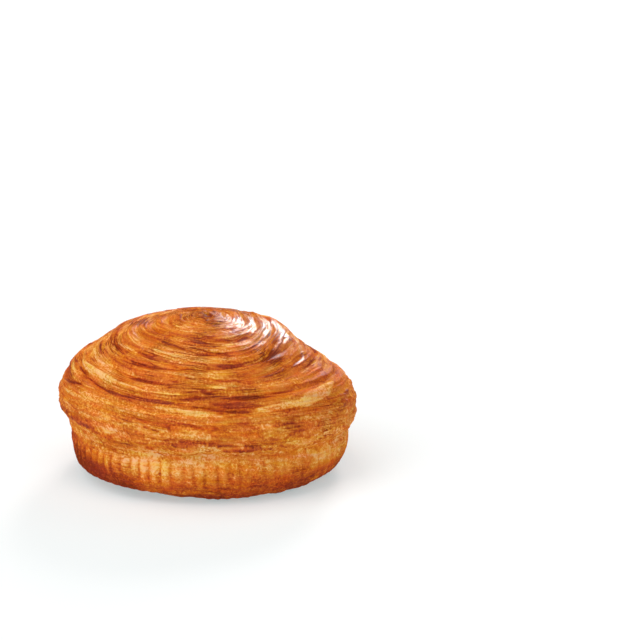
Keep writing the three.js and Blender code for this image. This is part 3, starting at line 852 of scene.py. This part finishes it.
def make_camera():
    """Camera level with the horizon, turned so that the aim point falls on its pixel: pitch and yaw
    follow from the angles between that pixel and the middle of the picture."""
    focal_pixels = PIXELS_PER_MM * CAMERA_DISTANCE
    right = AIM_PIXEL[0] - PICTURE / 2
    up = PICTURE / 2 - AIM_PIXEL[1]
    length = math.sqrt(right ** 2 + up ** 2 + focal_pixels ** 2)
    tall = math.hypot(up, focal_pixels) / length
    pitch = math.asin(math.sin(CAMERA_ELEVATION) / tall) + math.atan2(up, focal_pixels)
    level = (up * math.sin(pitch) + focal_pixels * math.cos(pitch)) / length
    yaw = math.atan2(-right / length, level)
    data = bpy.data.cameras.new("camera")
    data.sensor_width = SENSOR
    data.lens = focal_pixels / PICTURE * SENSOR
    data.clip_end = CLIP_END
    camera = bpy.data.objects.new("camera", data)
    camera.location = (
        AIM_POINT[0] * MM,
        (AIM_POINT[1] - CAMERA_DISTANCE * math.cos(CAMERA_ELEVATION)) * MM,
        (AIM_POINT[2] + CAMERA_DISTANCE * math.sin(CAMERA_ELEVATION)) * MM,
    )
    camera.rotation_euler = (math.pi / 2 - pitch, 0, -yaw)
    bpy.context.collection.objects.link(camera)
    bpy.context.scene.camera = camera


def paint(red, green, blue):
    """Colour of the crust as it is seen, from 0 to 255, turned into the shader's linear values: a
    straight line for the darkest, and a power of 2.4 above."""
    seen = np.array([red, green, blue]) / 255
    linear = np.where(seen <= 0.04045, seen / 12.92, ((seen + 0.055) / 1.055) ** 2.4)
    return (*map(float, linear), 1.0)


# Floor: half its width and its level in metres, just under the foot, its colour and its glow.
FLOOR_HALF = 6.0
FLOOR_LEVEL = -0.00005
FLOOR_COLOUR = (0.61, 0.545, 0.535, 1)
FLOOR_GLOW_COLOUR = (0.74, 0.98, 1.0, 1)
FLOOR_GLOW = 0.42

# Colours of the crust from pale to darkest, each with how far it is baked.
CRUST_COLOURS = [
    (0.00, paint(239, 185, 114)), (0.12, paint(232, 159, 76)), (0.26, paint(221, 134, 48)),
    (0.42, paint(209, 112, 35)), (0.56, paint(196, 93, 31)), (0.70, paint(178, 75, 29)),
    (0.85, paint(156, 61, 28)), (1.00, paint(128, 46, 22)),
]

# Noises of the crust, in cells a metre: grains of the crumb, fields where they are coarser, fields
# where hairlines show, bent ridges of the crumb, fields of redder and yellower crust, and glitter.
SPECK_SCALE = 1000.0
FINE_SCALE = 1450.0
COARSER_SCALE = 170.0
SHOWING_SCALE = 90.0
RIDGE_SCALE = 620.0
REDDER_SCALE = 150.0
GLITTER_SCALE = 2300.0

# How far each pattern changes the baking, on smooth and on crumbly crust.
BANDS_BAKE = (0.45, 0.15)
STREAKS_BAKE = (0.8, 0.2)
SPECKS_BAKE = (0.30, 0.55)
FINE_BAKE = (0.50, 0.68)
HAIRLINES_BAKE = (0.85, 0.16)
RIDGES_BAKE = 0.24

# Hairlines: stretch around the bun, width in millimetres and strength. They and the ridges lie
# where a noise is within LINE_REACH of its middle.
HAIRLINES = [(1.1, 1.1, 1.0), (2.0, 0.6, 0.7), (2.6, 0.35, 0.4)]
LINE_REACH = 0.035

# Roughness without and with glaze, and the depths of the two bumps in metres.
CRUST_ROUGHNESS = (0.62, 0.45)
GLAZE_ROUGHNESS = 0.06
GLAZE_IOR = 1.5
CRUST_BUMP = 0.00022
GLAZE_BUMP = 0.00018

# Tints that the colours are multiplied by, between two ends of a noise.
REDDER_TO_YELLOWER = [(0.36, (1.04, 0.85, 0.95, 1)), (0.50, (1, 1, 1, 1)), (0.64, (0.98, 1.13, 0.90, 1))]
DEEPER_TO_CREAMIER = [(0.36, (1.00, 0.98, 0.62, 1)), (0.50, (1, 1, 1, 1)), (0.64, (1.00, 1.04, 1.40, 1))]


class Recipe:
    """Puts nodes into a material and joins them."""

    def __init__(self, name):
        self.material = bpy.data.materials.new(name)
        self.material.use_nodes = True
        self.tree = self.material.node_tree
        self.shader = self.tree.nodes["Principled BSDF"]

    def add(self, kind, inputs=None, **settings):
        """New node with its settings, whose inputs get numbers or links."""
        node = self.tree.nodes.new(kind)
        for key, value in settings.items():
            setattr(node, key, value)
        for key, value in (inputs or {}).items():
            self.feed(node.inputs[key], value)
        return node

    def feed(self, socket, value):
        """Joins an output to the socket, or sets the socket's own number or colour."""
        if isinstance(value, bpy.types.NodeSocket):
            self.tree.links.new(value, socket)
        else:
            socket.default_value = value

    def finish(self, inputs):
        """Gives the shader its numbers and links."""
        for key, value in inputs.items():
            self.feed(self.shader.inputs[key], value)

    def bump(self, height, depth):
        """Normal of a surface raised by `height` times the depth in metres."""
        node = self.add("ShaderNodeBump", {"Strength": 1.0, "Distance": depth, "Height": height})
        return node.outputs["Normal"]

    def math(self, operation, *values):
        """One sum, difference, product or absolute value."""
        node = self.add("ShaderNodeMath", operation=operation)
        for socket, value in zip(node.inputs, values):
            self.feed(socket, value)
        return node.outputs[0]

    def attribute(self, name, output="Fac"):
        """Value that the mesh carries at its points."""
        return self.add("ShaderNodeAttribute", attribute_name=name).outputs[output]

    def noise(self, vector, scale, detail=2.0, roughness=0.5):
        """Noise from 0 to 1 with `scale` cells in a unit of the vector."""
        node = self.add("ShaderNodeTexNoise", {
            "Vector": vector, "Scale": scale, "Detail": detail, "Roughness": roughness,
        })
        return node.outputs["Fac"]

    def strands(self, turns, width, detail, roughness=0.5):
        """Noise drawn out along the strands: `turns` stretches it around the bun, `width` is in
        millimetres. A front and a back part are blended at the sides, so that it has no seam."""
        parts = []
        for name in ("grain_front", "grain_back"):
            stretched = self.add("ShaderNodeVectorMath", {
                0: self.attribute(name, "Vector"), 1: (turns, turns, 1 / width),
            }, operation="MULTIPLY")
            parts.append(self.noise(stretched.outputs["Vector"], 1.0, detail, roughness))
        front, back = parts
        share = self.attribute("front_share")
        return self.math("ADD", back, self.math("MULTIPLY", share, self.math("SUBTRACT", front, back)))

    def from_middle(self, noise):
        """Distance of a noise from its middle value."""
        return self.math("ABSOLUTE", self.math("SUBTRACT", noise, 0.5))

    def by_crumb(self, sizes):
        """From the first size on smooth crust to the second on crumbly crust."""
        return self.between(self.attribute("crumbly"), 0.0, 1.0, *sizes)

    def between(self, value, low, high, to_low=0.0, to_high=1.0):
        """Moves a value from the range low..high to the range to_low..to_high, and holds it there."""
        node = self.add("ShaderNodeMapRange", {
            "Value": value, "From Min": low, "From Max": high, "To Min": to_low, "To Max": to_high,
        })
        return node.outputs["Result"]

    def tint(self, colour, value, stops):
        """Colour multiplied by the tint that lies at `value` between the stops."""
        node = self.add("ShaderNodeMix", data_type="RGBA", blend_type="MULTIPLY")
        self.feed(node.inputs["Factor"], 1.0)
        self.feed(node.inputs["A"], colour)
        self.feed(node.inputs["B"], self.ramp(value, stops))
        return node.outputs["Result"]

    def ramp(self, value, stops):
        """Colour that lies at `value` between stops of a position and a colour."""
        node = self.add("ShaderNodeValToRGB", {"Fac": value})
        elements = node.color_ramp.elements
        while len(elements) < len(stops):
            elements.new(0.5)
        for element, (position, colour) in zip(elements, stops):
            element.position = position
            element.color = colour
        return node.outputs["Color"]


def make_crust():
    """Crust whose colour follows how far it is baked: the value on the skin, bands and streaks along
    the strands, grains, dark hairlines along the strands and pale bent ridges of the crumb. Bump
    adds streaks, pores and hairlines to the crust and glitter to the glaze."""
    recipe = Recipe("baked_crust")
    place = recipe.add("ShaderNodeTexCoord").outputs["Object"]
    glaze = recipe.attribute("glaze")
    band = recipe.strands(3.0, 1.3, 2.0)
    streak = recipe.strands(2.0, 0.5, 3.0, 0.6)
    speck = recipe.noise(place, SPECK_SCALE, 2.0, 0.6)
    fine = recipe.noise(place, FINE_SCALE, 1.0, 0.5)
    coarser = recipe.between(recipe.noise(place, COARSER_SCALE, 2.0, 0.5), 0.35, 0.65, 0.5, 1.5)
    coarser = recipe.math("MULTIPLY", coarser, recipe.attribute("speckled"))

    value = recipe.attribute("bake")
    for pattern, size in (
        (band, recipe.by_crumb(BANDS_BAKE)),
        (streak, recipe.by_crumb(STREAKS_BAKE)),
        (speck, recipe.math("MULTIPLY", coarser, recipe.by_crumb(SPECKS_BAKE))),
        (fine, recipe.math("MULTIPLY", coarser, recipe.by_crumb(FINE_BAKE))),
    ):
        part = recipe.math("MULTIPLY", recipe.math("SUBTRACT", pattern, 0.5), size)
        value = recipe.math("ADD", value, part)

    showing = recipe.between(recipe.noise(place, SHOWING_SCALE, 1.0, 0.5), 0.36, 0.62)
    showing = recipe.math("MULTIPLY", showing, recipe.by_crumb(HAIRLINES_BAKE))
    hairline = 0.0
    for turns, width, strength in HAIRLINES:
        apart = recipe.from_middle(recipe.strands(turns, width, 1.0))
        line = recipe.math("MULTIPLY", recipe.between(apart, 0.0, LINE_REACH, strength, 0.0), showing)
        hairline = recipe.math("ADD", line, hairline)
    value = recipe.math("ADD", value, hairline)
    apart = recipe.from_middle(recipe.noise(place, RIDGE_SCALE, 1.0, 0.5))
    ridge = recipe.between(apart, 0.0, LINE_REACH, RIDGES_BAKE, 0.0)
    value = recipe.math("SUBTRACT", value, recipe.math("MULTIPLY", ridge, recipe.attribute("crumbly")))

    colour = recipe.ramp(value, CRUST_COLOURS)
    redder = recipe.math("ADD", recipe.noise(place, REDDER_SCALE, 3.0, 0.6), recipe.strands(3.0, 1.6, 2.0))
    colour = recipe.tint(colour, recipe.math("MULTIPLY", redder, 0.5), REDDER_TO_YELLOWER)
    colour = recipe.tint(colour, recipe.strands(2.5, 0.9, 3.0, 0.6), DEEPER_TO_CREAMIER)

    pores = recipe.math("ADD", recipe.math("MULTIPLY", speck, 0.8), recipe.math("MULTIPLY", fine, 0.7))
    pores = recipe.math("MULTIPLY", pores, recipe.by_crumb((0.55, 1.0)))
    height = recipe.math("ADD", recipe.math("MULTIPLY", streak, 1.1), pores)
    height = recipe.math("SUBTRACT", height, hairline)
    glitter = recipe.noise(place, GLITTER_SCALE, 1.0, 0.5)
    sparkle = recipe.math("ADD", recipe.math("MULTIPLY", streak, 0.8), glitter)

    recipe.finish({
        "Base Color": colour,
        "Roughness": recipe.between(glaze, 0.0, 1.0, *CRUST_ROUGHNESS),
        "Specular IOR Level": 0.0,
        "Coat Weight": glaze,
        "Coat Roughness": GLAZE_ROUGHNESS,
        "Coat IOR": GLAZE_IOR,
        "Normal": recipe.bump(height, CRUST_BUMP),
        "Coat Normal": recipe.bump(sparkle, GLAZE_BUMP),
    })
    return recipe.material


def make_floor():
    """Plain pale floor, without gloss."""
    mesh = bpy.data.meshes.new("floor")
    signs = [(-1, -1), (1, -1), (1, 1), (-1, 1)]
    corners = [(x * FLOOR_HALF, y * FLOOR_HALF, FLOOR_LEVEL) for x, y in signs]
    mesh.from_pydata(corners, [], [(0, 1, 2, 3)])
    recipe = Recipe("pale_floor")
    recipe.finish({
        "Base Color": FLOOR_COLOUR,
        "Emission Color": FLOOR_GLOW_COLOUR,
        "Emission Strength": FLOOR_GLOW,
        "Roughness": 1.0,
        "Specular IOR Level": 0.0,
    })
    mesh.materials.append(recipe.material)
    floor = bpy.data.objects.new("floor", mesh)
    bpy.context.collection.objects.link(floor)
    return floor


# Softboxes: name, degrees right of straight behind the bun, degrees above the floor, distance,
# width and height in metres, brightness. They look at a place in the middle of the bun.
LIGHTS = [
    ("back_softbox", 16, 28, 1.4, (0.38, 0.34), 22),
    ("back_strip", -17, 24, 1.4, (0.07, 0.24), 5),
    ("low_softbox", 15, 10, 1.4, (0.28, 0.22), 26),
    ("right_softbox", 60, 45, 2.0, (1.0, 1.0), 0.8),
    ("top_softbox", -125, 74, 2.0, (1.6, 1.6), 2.0),
    ("left_fill", -126, 32, 2.0, (1.5, 1.5), 2.9),
    ("right_fill", 140, 32, 2.0, (1.5, 1.5), 1.4),
]
LIGHT_AIM_HEIGHT = 0.03
WORLD_BRIGHTNESS = 0.25


def make_light(name, azimuth, elevation, distance, size, brightness):
    """Softbox whose power is its brightness times pi times its area."""
    around, up = math.radians(azimuth), math.radians(elevation)
    data = bpy.data.lights.new(name, "AREA")
    data.shape = "RECTANGLE"
    data.size, data.size_y = size
    data.energy = brightness * math.pi * size[0] * size[1]
    light = bpy.data.objects.new(name, data)
    light.location = (
        distance * math.cos(up) * math.sin(around),
        distance * math.cos(up) * math.cos(around),
        distance * math.sin(up) + LIGHT_AIM_HEIGHT,
    )
    light.rotation_euler = (math.pi / 2 - up, 0, math.pi - around)
    bpy.context.collection.objects.link(light)


def make_world():
    """Even white light from all sides."""
    world = bpy.data.worlds.new("studio")
    bpy.context.scene.world = world
    world.use_nodes = True
    background = world.node_tree.nodes["Background"]
    background.inputs["Color"].default_value = (1, 1, 1, 1)
    background.inputs["Strength"].default_value = WORLD_BRIGHTNESS


make_camera()
make_world()
for entry in LIGHTS:
    make_light(*entry)

bun = make_bun()
bun.data.materials.append(make_crust())
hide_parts("bun")
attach(bun, "root")

make_floor()

bpy.context.scene.view_settings.view_transform = "Standard"
